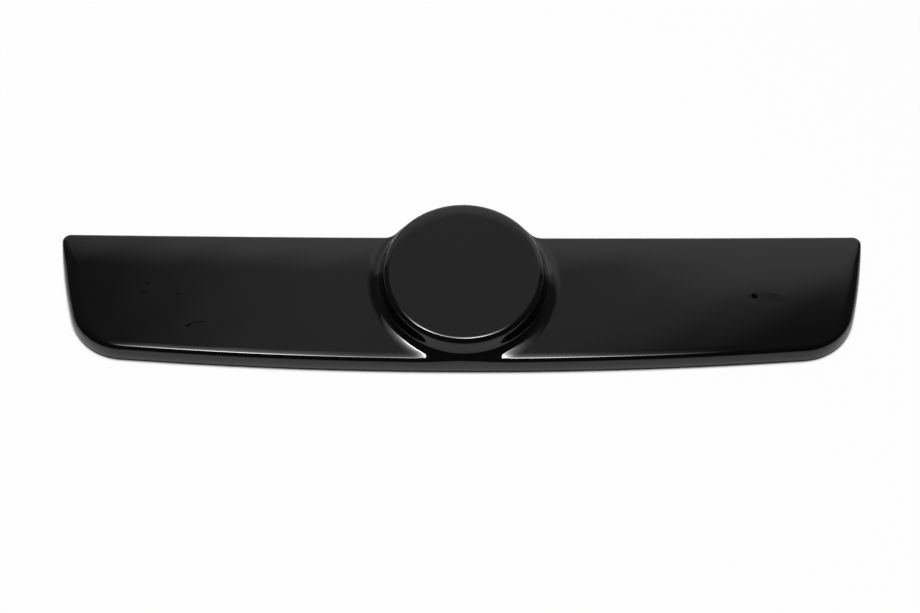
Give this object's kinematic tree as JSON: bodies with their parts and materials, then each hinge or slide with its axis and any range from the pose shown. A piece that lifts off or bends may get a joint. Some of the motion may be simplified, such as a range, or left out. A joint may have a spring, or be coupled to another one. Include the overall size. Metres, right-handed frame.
{
  "type": "winter grille cover",
  "caption": "Long shallow moulded shell with a round badge dome in its middle, fitted over a car's radiator grille to keep cold air out in winter.",
  "frame": {"origin": "on the badge dome's axis, in the plane of the rim that the cover lies on", "axes": "+X along the strip, +Y towards its top edge, +Z out of its front"},
  "size_m": [0.8196, 0.1828, 0.0415],
  "materials": {
    "black_gelcoat": "polished black gelcoat on a glass-fibre moulding, with fine scuffs; the inside is the bare laminate"
  },
  "bodies": {
    "root": {"grille_cover": "black_gelcoat"}
  },
  "joints": []
}
